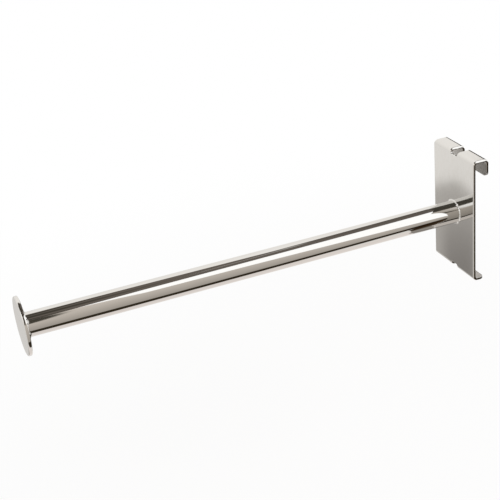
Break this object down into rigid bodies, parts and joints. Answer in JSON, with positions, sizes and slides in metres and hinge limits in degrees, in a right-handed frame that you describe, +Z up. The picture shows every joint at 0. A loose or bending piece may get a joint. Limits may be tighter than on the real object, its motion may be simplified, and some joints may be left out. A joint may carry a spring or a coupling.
{
  "type": "gridwall faceout",
  "caption": "Straight round display arm with an end disc, welded to a flat plate that folds into a notched top hook and a short bottom lip for a wire grid.",
  "frame": {"origin": "on the arm's axis, at the back face of the plate, which lies against the wire grid", "axes": "-Y along the arm, away from the grid; +Y into the grid; +X to the right seen from the front; +Z up"},
  "size_m": [0.0508, 0.3189, 0.0888],
  "materials": {
    "plate_chrome": "chrome plate over rolled sheet steel, slightly hazy",
    "tube_chrome": "bright chrome plate over drawn steel tube",
    "disc_chrome": "bright chrome plate over a stamped steel blank",
    "weld_chrome": "bright chrome plate over a weld bead"
  },
  "bodies": {
    "root": {"back_plate": "plate_chrome", "arm_tube": "tube_chrome", "end_disc": "disc_chrome", "plate_weld": "weld_chrome", "disc_weld": "weld_chrome"}
  },
  "joints": []
}
